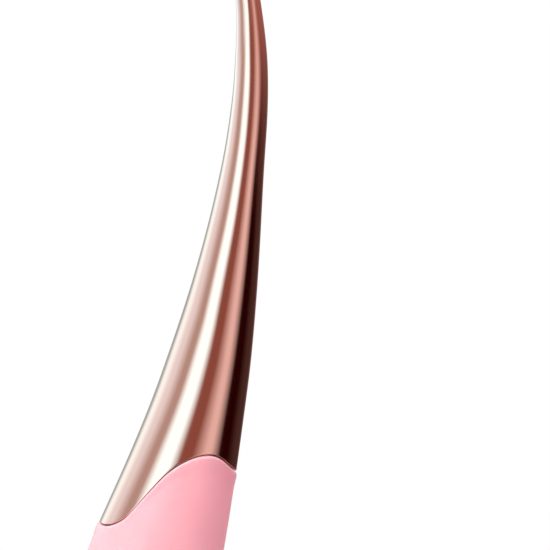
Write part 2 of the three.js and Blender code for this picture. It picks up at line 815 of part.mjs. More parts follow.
// Clear rod from the light on the board to the sleeve's surface.
function indicatorWindow() {
  const fromY = boardBackY + ledHeight + fitGap;
  const rod = solid(barY(windowRadius, 0, fromY, farBack, windowHeight));
  const reach = windowRadius + overrun;
  return geometryOf(rod.intersect(solid(slab(windowHeight - reach, windowHeight + reach, 0))));
}

// Charging contact: a head in the sleeve and a pin through the frame to the board.
function chargingContact(x) {
  const pin = solid(barY(contactPinRadius, x, boardBackY + fitGap, farBack, contactHeight));
  const head = solid(barY(contactRadius, x, boardBackY, farBack, contactHeight));
  const low = contactHeight - contactRadius - overrun;
  const high = contactHeight + contactRadius + overrun;
  const core = solid(slab(low - overrun, high + overrun, sleeveWall));
  const skin = solid(slab(low, high, contactRecess));
  return geometryOf(head.subtract(core).add(pin).intersect(skin));
}

// Insulated lead along a smooth path.
function lead(points) {
  const path = new THREE.CatmullRomCurve3(points.map(([x, y, z]) => new THREE.Vector3(x, y, z)));
  const section = new THREE.Shape().absarc(0, 0, leadRadius, 0, 2 * Math.PI, false);
  return new THREE.ExtrudeGeometry(section, {
    steps: leadSteps, bevelEnabled: false, extrudePath: path, curveSegments: 3,
  });
}

// Lead from the top of the motor to the foot of the board.
function motorLead(x) {
  const gap = fitGap + leadRadius;
  const startY = motorBossRadius / 2;
  return lead([
    [x, startY, bellTop + fitGap],
    [x, startY + leadRadius, bellTop + boardFootRoom],
    [x, (startY + boardFrontY) / 2, boardBottom + boardFootRoom],
    [x, boardFrontY - gap, boardBottom + boardFootRoom + gap],
  ]);
}

// Lead from the cell's positive cap over to the top edge of the board.
function positiveLead() {
  const startZ = cellTop + cellCapHeight + fitGap;
  const crown = startZ + upperScrewRoom / 3;
  return lead([
    [0, cellY, startZ],
    [0, (2 * cellY + boardFrontY) / 3, crown],
    [0, (cellY + 2 * boardFrontY) / 3, crown + leadRadius],
    [0, boardFrontY + boardThickness / 2, crown - leadRadius],
    [0, boardFrontY + boardThickness / 2, boardTop + fitGap],
  ]);
}

// Lead from the cell's base to the foot of the board.
function negativeLead() {
  const gap = fitGap + leadRadius;
  const startY = cellY + cellRadius / 2;
  return lead([
    [0, startY, cellBase - fitGap],
    [0, startY + leadRadius, cellBase - 2 * gap],
    [0, boardFrontY - 2 * gap, cellBase - 4 * gap],
    [0, boardFrontY - fitGap, cellBase - 5 * gap],
  ]);
}

const cleanser = new THREE.Group();

function addMesh(parent, name, geometry, finish) {
  const flat = geometry.index ? geometry.toNonIndexed() : geometry;
  flat.computeVertexNormals();
  const mesh = new THREE.Mesh(flat, new THREE.MeshStandardMaterial(finishes[finish]));
  mesh.name = name;
  parent.add(mesh);
  return mesh;
}

function addCasing() {
  addMesh(cleanser, "handle_shell", handleShell(), "plating");
  addMesh(cleanser, "silicone_sleeve", siliconeSleeve(), "silicone");
  addMesh(cleanser, "brush_pad", brushPad(), "silicone");
  addMesh(cleanser, "frame_front", frameHalf(-1), "frame");
  addMesh(cleanser, "frame_back", frameHalf(1), "frame");
  addMesh(cleanser, "neck_seal", sealRing(), "rubber");
  screwPlaces.forEach(({ x, z, seatY }, i) => {
    const mesh = addMesh(cleanser, `frame_screw_${i + 1}`, screw(), "steel");
    mesh.position.set(x, seatY + fitGap, z);
  });
}

function addMotor() {
  const motor = new THREE.Group();
  motor.position.z = motorBossBase;
  addMesh(motor, "motor_can", motorCan(), "steel");
  const bell = addMesh(motor, "motor_end_bell", motorBell(), "black");
  bell.position.z = motorTop + fitGap - motorBossBase;
  const shaft = addMesh(motor, "motor_shaft", motorShaft(), "steel");
  shaft.position.z = weightBase - motorBossBase;
  const weight = addMesh(motor, "eccentric_weight", eccentricWeight(), "tungsten");
  weight.position.z = weightBase - motorBossBase;
  saddleHeights.forEach((z, i) => {
    const ringMesh = addMesh(motor, `motor_grommet_${i + 1}`, grommet(), "rubber");
    ringMesh.position.z = z - motorBossBase;
  });
  cleanser.add(motor);
}

function addPower() {
  const cell = addMesh(cleanser, "battery_cell", batteryCell(), "cellWrap");
  cell.position.set(0, cellY, cellBase);
  const half = foamWidth / 2;
  const foam = block(
    -half, boardFrontY - fitGap - foamThickness, ribHeights[0] + ribThickness / 2 + fitGap,
    half, boardFrontY - fitGap, ribHeights[1] - ribThickness / 2 - fitGap,
  );
  addMesh(cleanser, "battery_foam", foam, "foam");
  addMesh(cleanser, "battery_lead_red", positiveLead(), "red");
  addMesh(cleanser, "battery_lead_black", negativeLead(), "black");
  addMesh(cleanser, "motor_lead_red", motorLead(leadSpread), "red");
  addMesh(cleanser, "motor_lead_black", motorLead(-leadSpread), "black");
}

// Board, and on its back face the parts that it carries.
function addElectronics() {
  const board = new THREE.Group();
  board.position.y = boardBackY;
  const plateShape = block(
    -boardHalfWidth, -boardThickness, boardBottom, boardHalfWidth, 0, boardTop,
  );
  addMesh(board, "control_board", plateShape, "board");
  addMesh(board, "power_switch", tactSwitch(), "steel").position.z = powerHeight;
  addMesh(board, "mode_switch", tactSwitch(), "steel").position.z = modeHeight;
  const chipHalf = chipWidth / 2;
  const chip = block(-chipHalf, 0, -chipHalf, chipHalf, chipHeight, chipHalf);
  addMesh(board, "controller_chip", chip, "black").position.z = (powerHeight + modeHeight) / 2;
  const ledHalf = ledWidth / 2;
  const led = block(-ledHalf, 0, -ledHalf, ledHalf, ledHeight, ledHalf);
  addMesh(board, "indicator_led", led, "clear").position.z = windowHeight;
  cleanser.add(board);
  addMesh(cleanser, "indicator_window", indicatorWindow(), "clear");
  contactPlaces.forEach((x, i) => {
    addMesh(cleanser, `charging_contact_${i + 1}`, chargingContact(x), "gold");
  });
}

function addButtons() {
  addMesh(cleanser, "power_button", button(powerHeight, powerRadius), "plating");
  addMesh(cleanser, "mode_button", button(modeHeight, modeRadius), "plating");
  const powerGasket = buttonGasket(powerHeight, powerRadius);
  addMesh(cleanser, "power_button_gasket", powerGasket, "rubber");
  addMesh(cleanser, "mode_button_gasket", buttonGasket(modeHeight, modeRadius), "rubber");
}

addCasing();
addMotor();
addPower();
addElectronics();
addButtons();

export default cleanser;
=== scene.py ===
import json
import math

import bpy
import numpy as np
from mathutils import Matrix, Vector


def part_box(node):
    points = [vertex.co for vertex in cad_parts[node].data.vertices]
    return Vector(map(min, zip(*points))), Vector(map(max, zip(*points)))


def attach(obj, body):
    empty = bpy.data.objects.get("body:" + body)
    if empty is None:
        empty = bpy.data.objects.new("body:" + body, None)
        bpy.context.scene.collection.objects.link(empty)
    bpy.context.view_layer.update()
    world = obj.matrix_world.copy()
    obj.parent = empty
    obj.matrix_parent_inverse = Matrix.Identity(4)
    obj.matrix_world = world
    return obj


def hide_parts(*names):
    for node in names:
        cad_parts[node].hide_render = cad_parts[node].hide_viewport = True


# Electric face cleanser, head down on its flat foot. Metres, +Z up. The brush faces -Y and the
# buttons face +Y. The smooth outer pieces are lofted from one oval section that follows a
# bending centreline, as the frame's own shells are.

MM = 0.001

# Outer form. Lengths run along the centreline from the foot.
BODY_LENGTH = 196 * MM
HEAD_WIDTH = 32.5 * MM
HEAD_DEPTH = 29.5 * MM
HEAD_ROUNDING = 18 * MM
FOOT_SHARE = 0.58
BEND_START = 70 * MM
TIP_LEAN = math.radians(30.3)
TIP_ROUNDING_WIDTH = 6.6 * MM
TIP_ROUNDING_DEPTH = 3.4 * MM
TIP_POWER = 2.7
WIDTH_SHARES = [
    (0, 0.97), (0.1, 1), (0.153, 0.938), (0.209, 0.825), (0.306, 0.7), (0.393, 0.642),
    (0.464, 0.615), (0.536, 0.584), (0.607, 0.512), (0.673, 0.45), (0.747, 0.411),
    (0.806, 0.371), (0.867, 0.323), (0.93, 0.285), (1, 0.254),
]
DEPTH_SHARES = [
    (0, 0.97), (0.1, 1), (0.209, 0.962), (0.306, 0.932), (0.364, 0.9), (0.393, 0.855),
    (0.464, 0.727), (0.523, 0.626), (0.574, 0.552), (0.65, 0.435), (0.727, 0.327),
    (0.778, 0.271), (0.83, 0.238), (0.88, 0.207), (0.932, 0.16), (1, 0.127),
]
LEAN_SHARES = [
    (0, 0), (0.1, 0.03), (0.25, 0.107), (0.4, 0.203), (0.55, 0.3), (0.7, 0.38),
    (0.82, 0.61), (0.92, 0.83), (1, 1),
]

# Parting line between the silicone and the plated handle.
PARTING_FRONT = 74.8 * MM
PARTING_RISE = 19.6 * MM
PARTING_SHARES = [
    (-0.09, 0.008), (0, 0), (0.09, 0.008), (0.167, 0.066), (0.225, 0.182), (0.289, 0.457),
    (0.356, 0.704), (0.437, 0.872), (0.533, 0.976), (0.633, 1), (0.8, 0.915), (1, 0.86),
    (1.2, 0.915),
]
PARTING_GAP = 0.3 * MM

# Walls, edges and clearances.
SLEEVE_WALL = 2.2 * MM
SLEEVE_FLOOR = 3 * MM
SLEEVE_LIP = 0.55 * MM
LIP_SWELL = 0.2 * MM
LIP_SWELL_LENGTH = 3 * MM
HANDLE_WALL = 2 * MM
HANDLE_EDGE = 0.08 * MM
HANDLE_CAVITY_SHARE = 0.765
FIT_GAP = 0.25 * MM
CUT_OVERRUN = 1 * MM
BORE_END_SHARE = 0.3

# Brush: an oval pad with rows of soft nubs on the front of the head.
PAD_THICKNESS = 0.9 * MM
PAD_EDGE = 0.3 * MM
BRUSH_CENTRE = 22 * MM
BRUSH_WIDTH = 23 * MM
BRUSH_HEIGHT = 33 * MM
NUB_PITCH = 1.4 * MM
NUB_HEIGHT = 1.7 * MM
NUB_ROOT = 0.56 * MM
NUB_WAIST = 0.42 * MM
NUB_TIP = 0.34 * MM
NUB_SINK = 0.2 * MM
NUB_FIELD_SHARE = 0.9

# Massage ridges on the back of the head.
RIDGE_COUNT = 5
RIDGE_FIRST = 10 * MM
RIDGE_PITCH = 4.4 * MM
RIDGE_HEIGHT = 0.9 * MM
RIDGE_HALF_WIDTH = 1.5 * MM
RIDGE_LENGTH = 17 * MM

# Buttons and the signs sunk into them.
BUTTON_PROUD = 0.5 * MM
BUTTON_DEPTH = 1 * MM
BUTTON_EDGE = 0.4 * MM
BUTTON_CROWN = 0.15 * MM
SIGN_DEPTH = 0.22 * MM
SIGN_HALF_WIDTH = 0.32 * MM
POWER_RING = 2.1 * MM
POWER_RING_GAP = math.radians(38)
POWER_BAR = (0.7 * MM, 2.7 * MM)
MODE_RING = 1.5 * MM
STEM_RADIUS = 1.8 * MM

# Light window and charging contacts.
WINDOW_RECESS = 0.05 * MM
WINDOW_EDGE = 0.15 * MM
CONTACT_RECESS = 0.3 * MM
CONTACT_EDGE = 0.2 * MM
CONTACT_PIN_SHARE = 0.55

# How finely the pieces are divided, with fewer rings for walls that lie inside.
BODY_SIDES = 256
BODY_RINGS = 200
ROUNDING_RINGS = 50
INNER_RINGS = 16
EDGE_RINGS = 8
DISC_SIDES = 96
FACE_RINGS = 90
BACK_RINGS = 20
NUB_SIDES = 14
NUB_RINGS = 4

# Camera, rolled so that the upright object leans across the picture.
CAMERA_AZIMUTH = math.radians(76.3)
CAMERA_ELEVATION = math.radians(1.0)
CAMERA_ROLL = math.radians(17.38)
CAMERA_LENS_MILLIMETRES = 200
SENSOR_WIDTH_MILLIMETRES = 36
VIEW_WIDTH = 109.45 * MM
VIEW_SIDE = 5.93 * MM
VIEW_HEIGHT = 131.88 * MM
CAMERA_NEAR_LIMIT = 10 * MM

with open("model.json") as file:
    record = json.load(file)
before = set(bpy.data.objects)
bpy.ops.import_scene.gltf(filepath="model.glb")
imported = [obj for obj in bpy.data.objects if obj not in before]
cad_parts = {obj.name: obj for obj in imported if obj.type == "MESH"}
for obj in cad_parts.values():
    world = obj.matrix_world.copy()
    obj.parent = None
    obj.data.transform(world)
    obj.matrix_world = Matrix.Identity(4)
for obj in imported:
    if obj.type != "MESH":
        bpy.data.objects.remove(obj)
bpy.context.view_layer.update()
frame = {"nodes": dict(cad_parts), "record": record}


def smooth_table(rows):
    """Smooth curve through the rows of a table, level outside it."""
    x = np.array([row[0] for row in rows], float)
    y = np.array([row[1] for row in rows], float)
    slopes = np.empty(len(x))
    slopes[1:-1] = (y[2:] - y[:-2]) / (x[2:] - x[:-2])
    slopes[0] = (y[1] - y[0]) / (x[1] - x[0])
    slopes[-1] = (y[-1] - y[-2]) / (x[-1] - x[-2])

    def curve(place):
        i = np.clip(np.searchsorted(x, place) - 1, 0, len(x) - 2)
        span = x[i + 1] - x[i]
        t = np.clip((place - x[i]) / span, 0, 1)
        ease = t * t * (3 - 2 * t)
        bend = t * (1 - t) * span
        return y[i] + (y[i + 1] - y[i]) * ease + bend * (slopes[i] * (1 - t) - slopes[i + 1] * t)

    return curve


width_along = smooth_table(WIDTH_SHARES)
depth_along = smooth_table(DEPTH_SHARES)
lean_along = smooth_table(LEAN_SHARES)
parting_round = smooth_table(PARTING_SHARES)


def tip_closing(s, rounding):
    """Share of the section that is left where the tip rounds off, without a kink at its start."""
    t = np.clip((s - BODY_LENGTH + rounding) / rounding, 0, 1)
    return np.sqrt(1 - t**TIP_POWER)


def section_at(s):
    """Half width and half depth of the body's oval section."""
    rise = np.clip(s / HEAD_ROUNDING, 0, 1)
    foot = FOOT_SHARE + (1 - FOOT_SHARE) * np.sqrt(1 - (1 - rise) ** 2)
    share = s / BODY_LENGTH
    half_width = HEAD_WIDTH / 2 * width_along(share) * foot * tip_closing(s, TIP_ROUNDING_WIDTH)
    half_depth = HEAD_DEPTH / 2 * depth_along(share) * foot * tip_closing(s, TIP_ROUNDING_DEPTH)
    return half_width, half_depth


def lean_at(s):
    """Forward lean of the centreline."""
    return TIP_LEAN * lean_along((s - BEND_START) / (BODY_LENGTH - BEND_START))


def make_centreline(steps=1200):
    """Centreline from the foot to the tip, as places and their y and z."""
    step = BODY_LENGTH / steps
    lean = lean_at((np.arange(steps) + 0.5) * step)
    y = np.concatenate([[0], np.cumsum(-np.sin(lean) * step)])
    z = np.concatenate([[0], np.cumsum(np.cos(lean) * step)])
    return np.linspace(0, BODY_LENGTH, steps + 1), y, z


centre_s, centre_y, centre_z = make_centreline()


def body_point(s, angle, inset=0.0):
    """Points of the body's form, inset into it. Angle 0 is the front and grows towards +X."""
    s, angle, inset = np.broadcast_arrays(s, angle, inset)
    half_width, half_depth = section_at(s)
    lean = lean_at(s)
    back = -np.maximum(0, half_depth - inset) * np.cos(angle)
    x = np.maximum(0, half_width - inset) * np.sin(angle)
    y = np.interp(s, centre_s, centre_y) + back * np.cos(lean)
    z = np.interp(s, centre_s, centre_z) + back * np.sin(lean)
    return np.stack([x, y, z], axis=-1)


def parting_at(angle):
    """Parting line's place along the centreline."""
    turn = np.abs(np.arctan2(np.sin(angle), np.cos(angle))) / np.pi
    return PARTING_FRONT + PARTING_RISE * parting_round(turn)


def centre_point(s):
    return np.array([0.0, np.interp(s, centre_s, centre_y), np.interp(s, centre_s, centre_z)])


def skin_point(x, z, inset, side):
    """Point of the straight part of the body over x and z, on the front (-1) or the back (1)."""
    half_width, half_depth = section_at(z)
    share = np.clip(x / (half_width - inset), -1, 1)
    y = side * (half_depth - inset) * np.sqrt(1 - share * share)
    return np.stack(np.broadcast_arrays(x, y, z), axis=-1)


def loft(rings, start, end):
    """Vertices and faces of a closed surface through equal rings, drawn to a point at each end."""
    count, sides = len(rings), len(rings[0])
    points = np.concatenate([[start], np.concatenate(rings), [end]])
    index = 1 + np.arange(count * sides).reshape(count, sides)
    turned = np.roll(index, -1, axis=1)
    quads = np.stack([index[:-1], turned[:-1], turned[1:], index[1:]], axis=-1).reshape(-1, 4)
    first = np.stack([np.zeros(sides, int), turned[0], index[0]], axis=-1)
    last = np.stack([np.full(sides, len(points) - 1), index[-1], turned[-1]], axis=-1)
    return points, [*quads.tolist(), *first.tolist(), *last.tolist()]


def mesh_object(name, points, faces):
    """Smooth-shaded mesh object whose faces point outwards."""
    mesh = bpy.data.meshes.new(name)
    mesh.from_pydata(np.asarray(points).tolist(), [], faces)
    mesh.update()
    obj = bpy.data.objects.new(name, mesh)
    bpy.context.scene.collection.objects.link(obj)
    if signed_volume(mesh) < 0:
        mesh.flip_normals()
    mesh.shade_smooth()
    return obj


def signed_volume(mesh):
    mesh.calc_loop_triangles()
    co = np.array([v.co for v in mesh.vertices])
    corners = co[np.array([t.vertices[:] for t in mesh.loop_triangles])]
    return np.einsum("ij,ij->i", corners[:, 0], np.cross(corners[:, 1], corners[:, 2])).sum() / 6


def joined(parts):
    """Vertices and faces of several closed surfaces as one."""
    points, faces, offset = [], [], 0
    for part_points, part_faces in parts:
        points.append(part_points)
        faces += [[i + offset for i in face] for face in part_faces]
        offset += len(part_points)
    return np.concatenate(points), faces


def combine(obj, operation, tools, sharp=math.radians(40)):
    """Adds the tools to obj or takes them out of it, and removes them."""
    for tool in tools:
        modifier = obj.modifiers.new("combine", "BOOLEAN")
        modifier.object = tool
        modifier.operation = operation
        modifier.solver = "MANIFOLD"
    view = bpy.context.evaluated_depsgraph_get()
    made = bpy.data.meshes.new_from_object(obj.evaluated_get(view))
    obj.modifiers.clear()
    obj.data = made
    made.shade_smooth()
    made.set_sharp_from_angle(angle=sharp)
    for tool in tools:
        bpy.data.objects.remove(tool)


def quarter(steps):
    """Sine and one minus cosine over a quarter turn, for rounded edges."""
    turn = np.linspace(0, np.pi / 2, steps)
    return np.sin(turn), 1 - np.cos(turn)


def shares(start, end, steps):
    """Even steps from start up to end, without end itself."""
    return np.linspace(start, end, steps, endpoint=False)


angles = shares(0, 2 * np.pi, BODY_SIDES)


def make_handle():
    """Plated shell: outer wall, rounded tip, and a rounded lower edge that turns inwards."""
    rim = parting_at(angles) + PARTING_GAP / 2
    cavity_top = HANDLE_CAVITY_SHARE * BODY_LENGTH
    low = rim + HANDLE_EDGE
    tip_start = BODY_LENGTH - TIP_ROUNDING_WIDTH
    sine, drop = quarter(EDGE_RINGS)
    rings = []
    for share in np.linspace(1, 0, INNER_RINGS):
        rings.append(body_point(low + (cavity_top - low) * share, angles, HANDLE_WALL))
    for a, b in zip(sine[1:], drop[1:]):
        rings.append(body_point(low - HANDLE_EDGE * a, angles, HANDLE_WALL - HANDLE_EDGE * b))
    for a, b in zip(sine[::-1], drop[::-1]):
        rings.append(body_point(low - HANDLE_EDGE * a, angles, HANDLE_EDGE * b))
    for share in np.linspace(0, 1, BODY_RINGS)[1:]:
        rings.append(body_point(low + (tip_start - low) * share, angles))
    for turn in np.linspace(0, np.pi / 2, ROUNDING_RINGS)[1:-1]:
        rings.append(body_point(tip_start + TIP_ROUNDING_WIDTH * math.sin(turn), angles))
    points, faces = loft(rings, centre_point(cavity_top), centre_point(BODY_LENGTH))
    return mesh_object("handle", points, faces)


def ridge_height(s, angle):
    """Height of the massage ridges over the sleeve's back, rounded over and closed at the ends."""
    half_width, _ = section_at(s)
    across = (np.mod(angle, 2 * np.pi) - np.pi) * half_width / (RIDGE_LENGTH / 2)
    along = (s - RIDGE_FIRST) / RIDGE_PITCH
    nearest = np.clip(np.round(along), 0, RIDGE_COUNT - 1)
    offset = (along - nearest) * RIDGE_PITCH / RIDGE_HALF_WIDTH
    reach = np.clip(1 - offset**2, 0, 1) * np.clip(1 - across**6, 0, 1)
    return RIDGE_HEIGHT * reach * reach * (3 - 2 * reach)


def sleeve_outer(s, lip, angle):
    """Outer surface of the sleeve, with its ridges and a slight swell towards the lip."""
    near = np.clip(1 - (lip - s) / LIP_SWELL_LENGTH, 0, 1)
    swell = LIP_SWELL * near * near * (3 - 2 * near)
    return body_point(s, angle, -swell - ridge_height(s, angle))


def make_sleeve():
    """Silicone sleeve: flat foot, outer wall, rounded lip, inner wall and floor."""
    rim = parting_at(angles) - PARTING_GAP / 2
    low = rim - SLEEVE_LIP
    sine, drop = quarter(EDGE_RINGS)
    rings = []
    for turn in shares(0, np.pi / 2, ROUNDING_RINGS):
        s = HEAD_ROUNDING * (1 - math.cos(turn)) + 0 * angles
        rings.append(sleeve_outer(s, low, angles))
    for share in np.linspace(0, 1, BODY_RINGS):
        s = HEAD_ROUNDING + (low - HEAD_ROUNDING) * share
        rings.append(sleeve_outer(s, low, angles))
    for a, b in zip(sine[1:], drop[1:]):
        inset = SLEEVE_LIP * b - LIP_SWELL
        rings.append(body_point(low + SLEEVE_LIP * a, angles, inset))
    for share in np.linspace(0, 1, INNER_RINGS):
        rings.append(body_point(rim + (SLEEVE_FLOOR - rim) * share, angles, SLEEVE_WALL))
    points, faces = loft(rings, centre_point(0), centre_point(SLEEVE_FLOOR))
    return mesh_object("sleeve", points, faces)


def disc_rings(x, z, half_x, half_z, rows, side, relief=None):
    """Rings of an oval disc that follows the body. A row holds a share of the half sizes, an
    inset from the skin, and None or the y of a flat ring, which leaves the skin."""
    turn = shares(0, 2 * np.pi, DISC_SIDES)
    rings = []
    for share, inset, plane_y in rows:
        dx, dz = half_x * share * np.cos(turn), half_z * share * np.sin(turn)
        depth = inset + (relief(dx, dz) if relief and plane_y is None else 0)
        ring = skin_point(x + dx, z + dz, depth, side)
        if plane_y is not None:
            ring[:, 1] = plane_y
        rings.append(ring)
    return rings


def disc_solid(name, x, z, half_x, half_z, rows, side, relief=None):
    rings = disc_rings(x, z, half_x, half_z, rows, side, relief)
    points, faces = loft(rings, rings[0].mean(axis=0), rings[-1].mean(axis=0))
    return mesh_object(name, points, faces)


def face_rows(edge_share, inset, count=FACE_RINGS):
    """Rows of a disc's face, from its middle to its rounded edge."""
    return [(share, inset, None) for share in shares(1 / count, 1 - edge_share, count)]


def back_rows(inset):
    """Rows of a disc's back, from its side to its middle."""
    return [(share, inset, None) for share in shares(1, 0, BACK_RINGS)]


def edge_rows(edge_share, edge, inset):
    """Rows of a rounded edge that turns from the face to the side of a disc."""
    sine, drop = quarter(EDGE_RINGS)
    return [(1 - edge_share * (1 - a), edge * b + inset, None) for a, b in zip(sine, drop)]


def make_pad():
    """Brush pad in its oval pocket, with one round tapered nub at each place of its lattice."""
    half_x, half_z = BRUSH_WIDTH / 2, BRUSH_HEIGHT / 2
    edge_share = PAD_EDGE / half_x
    rows = face_rows(edge_share, 0) + edge_rows(edge_share, PAD_EDGE, 0) + back_rows(PAD_THICKNESS)
    pad = disc_solid("brush", 0, BRUSH_CENTRE, half_x, half_z, rows, -1)
    nubs = mesh_object("nubs", *joined([nub(x, z) for x, z in nub_places()]))
    combine(pad, "UNION", [nubs])
    return pad


def nub_places():
    """Places of the nubs: a triangular lattice inside an oval field."""
    cell = NUB_PITCH / math.sqrt(3)
    rise = cell * math.sqrt(3) / 2
    radius = float(section_at(BRUSH_CENTRE)[0])
    arc = 2 * radius * math.asin(BRUSH_WIDTH / 2 / radius)
    rows = 4 * math.ceil((BRUSH_HEIGHT / rise + 2) / 4)
    columns = 4 * math.ceil((arc / cell + 2) / 4)
    for j in range(rows):
        for i in range(columns):
            if (i - j // 2 - j + 3 * rows) % 3:
                continue
            x = radius * math.sin((i - columns / 2 + j % 2 / 2) * cell / radius)
            z = BRUSH_CENTRE + (j - rows / 2) * rise
            if math.hypot(2 * x / BRUSH_WIDTH, 2 * (z - BRUSH_CENTRE) / BRUSH_HEIGHT) < NUB_FIELD_SHARE:
                middle = radius * math.sin((i + 0.5 - columns / 2 + j % 2 / 2) * cell / radius)
                yield middle, z + rise / 3


def nub(x, z):
    """One nub: a flared root, a slim waist and a rounded tip, square to the skin."""
    base = skin_point(x, z, 0, -1)
    along_x = skin_point(x + NUB_ROOT, z, 0, -1) - skin_point(x - NUB_ROOT, z, 0, -1)
    along_z = skin_point(x, z + NUB_ROOT, 0, -1) - skin_point(x, z - NUB_ROOT, 0, -1)
    out = np.cross(along_x, along_z)
    out /= np.linalg.norm(out)
    across = along_x / np.linalg.norm(along_x)
    up = np.cross(out, across)
    turn = shares(0, 2 * np.pi, NUB_SIDES)
    circle = np.outer(np.cos(turn), across) + np.outer(np.sin(turn), up)
    shoulder = NUB_HEIGHT - NUB_TIP
    flare = NUB_ROOT - NUB_WAIST
    profile = [(NUB_ROOT, -NUB_SINK)]
    profile += [(NUB_ROOT - flare * a, flare * b * 2) for a, b in zip(*quarter(NUB_RINGS))]
    profile += [(NUB_TIP * math.cos(rise), shoulder + NUB_TIP * math.sin(rise))
                for rise in shares(0, math.pi / 2, NUB_RINGS)]
    rings = [base + out * height + circle * radius for radius, height in profile]
    return loft(rings, base - out * NUB_SINK, base + out * NUB_HEIGHT)


def pocket_cutter():
    """Oval pocket that takes the brush pad."""
    half_x, half_z = BRUSH_WIDTH / 2 + FIT_GAP, BRUSH_HEIGHT / 2 + FIT_GAP
    rows = back_rows(-CUT_OVERRUN)[::-1] + back_rows(PAD_THICKNESS + FIT_GAP)
    return disc_solid("pocket", 0, BRUSH_CENTRE, half_x, half_z, rows, -1)


def place_of(node):
    """Centre in x and z, radius, and lowest y of a round CAD node on the back."""
    low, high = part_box(node)
    return (low.x + high.x) / 2, (low.z + high.z) / 2, (high.x - low.x) / 2, low.y


def bore_cutter(node):
    """Round bore through the sleeve's back for a node that fills it."""
    x, z, radius, _ = place_of(node)
    radius += FIT_GAP
    rows = [(1, 0, HEAD_DEPTH), (1, 0, HEAD_DEPTH * BORE_END_SHARE)]
    return disc_solid("bore", x, z, radius, radius, rows, 1)


def groove(distance):
    """Depth of a rounded groove at a distance from its middle line."""
    share = np.clip(1 - (distance / SIGN_HALF_WIDTH) ** 2, 0, 1)
    return SIGN_DEPTH * share * (2 - share)


def power_sign(dx, dz):
    """Open ring with an upright bar."""
    angle = np.arctan2(dx, dz)
    ring = np.abs(np.hypot(dx, dz) - POWER_RING)
    ends = [(side * POWER_RING * math.sin(POWER_RING_GAP), POWER_RING * math.cos(POWER_RING_GAP))
            for side in (-1, 1)]
    to_end = np.min([np.hypot(dx - x, dz - z) for x, z in ends], axis=0)
    ring = np.where(np.abs(angle) < POWER_RING_GAP, to_end, ring)
    bar = np.hypot(dx, dz - np.clip(dz, *POWER_BAR))
    return groove(np.minimum(ring, bar))


def mode_sign(dx, dz):
    """Closed ring round a dot."""
    distance = np.hypot(dx, dz)
    return groove(np.minimum(np.abs(distance - MODE_RING), distance))


def make_button(name, node, sign):
    """Button cap that follows the sleeve, with a rounded edge, a slight crown and a sunk sign."""
    x, z, radius, tip_y = place_of(node)
    edge_share = BUTTON_EDGE / radius

    def relief(dx, dz):
        share = np.clip(np.hypot(dx, dz) / radius, 0, 1)
        return sign(dx, dz) - BUTTON_CROWN * (1 - share * share)

    stem_share = STEM_RADIUS / radius
    rows = face_rows(edge_share, -BUTTON_PROUD) + edge_rows(edge_share, BUTTON_EDGE, -BUTTON_PROUD)
    rows += [(1, BUTTON_DEPTH, None), (stem_share, BUTTON_DEPTH, None), (stem_share, 0, tip_y)]
    return disc_solid(name, x, z, radius, radius, rows, 1, relief)


def make_window(name, node):
    """Light guide that ends just inside the sleeve's surface."""
    x, z, radius, low_y = place_of(node)
    edge_share = WINDOW_EDGE / radius
    rows = face_rows(edge_share, WINDOW_RECESS, BACK_RINGS)
    rows += edge_rows(edge_share, WINDOW_EDGE, WINDOW_RECESS) + [(1, 0, low_y)]
    return disc_solid(name, x, z, radius, radius, rows, 1)


def make_contact(name, node):
    """Charging contact: a wide head in the sleeve on a narrower pin that reaches the CAD node's lowest
    y.
    """
    x, z, radius, low_y = place_of(node)
    edge_share = CONTACT_EDGE / radius
    rows = face_rows(edge_share, CONTACT_RECESS, BACK_RINGS)
    rows += edge_rows(edge_share, CONTACT_EDGE, CONTACT_RECESS)
    rows += [(1, SLEEVE_WALL, None), (CONTACT_PIN_SHARE, SLEEVE_WALL, None)]
    rows += [(CONTACT_PIN_SHARE, 0, low_y)]
    return disc_solid(name, x, z, radius, radius, rows, 1)


# Materials, all procedural.


def material(name, color, metallic=0.0, roughness=0.5, **inputs):
    """Material with a principled shader. Further inputs are given by their socket's name."""
    made = bpy.data.materials.new(name)
    made.use_nodes = True
    shader = made.node_tree.nodes["Principled BSDF"]
    shader.inputs["Base Color"].default_value = (*color, 1)
    shader.inputs["Metallic"].default_value = metallic
    shader.inputs["Roughness"].default_value = roughness
    for key, value in inputs.items():
        shader.inputs[key.replace("_", " ")].default_value = value
    return made


def add_node(tree, kind, **settings):
    node = tree.nodes.new(kind)
    for key, value in settings.items():
        setattr(node, key, value)
    return node


def noise(tree, scale, detail=3.0):
    """Noise in the object's own space, scale in waves per metre."""
    place = add_node(tree, "ShaderNodeTexCoord")
    node = add_node(tree, "ShaderNodeTexNoise")
    node.inputs["Scale"].default_value = scale
    node.inputs["Detail"].default_value = detail
    tree.links.new(place.outputs["Object"], node.inputs["Vector"])
    return node.outputs["Fac"]


def remap(tree, value, source, target, easing="LINEAR"):
    """Maps a value from the range source onto the range target, and holds it there."""
    node = add_node(tree, "ShaderNodeMapRange", interpolation_type=easing)
    node.inputs["From Min"].default_value, node.inputs["From Max"].default_value = source
    node.inputs["To Min"].default_value, node.inputs["To Max"].default_value = target
    tree.links.new(value, node.inputs["Value"])
    return node.outputs["Result"]


def product(tree, first, second):
    node = add_node(tree, "ShaderNodeMath", operation="MULTIPLY")
    tree.links.new(first, node.inputs[0])
    tree.links.new(second, node.inputs[1])
    return node.outputs["Value"]


def vary_roughness(made, scale, low, high):
    tree = made.node_tree
    shader = tree.nodes["Principled BSDF"]
    value = remap(tree, noise(tree, scale), (0, 1), (low, high))
    tree.links.new(value, shader.inputs["Roughness"])
    return made


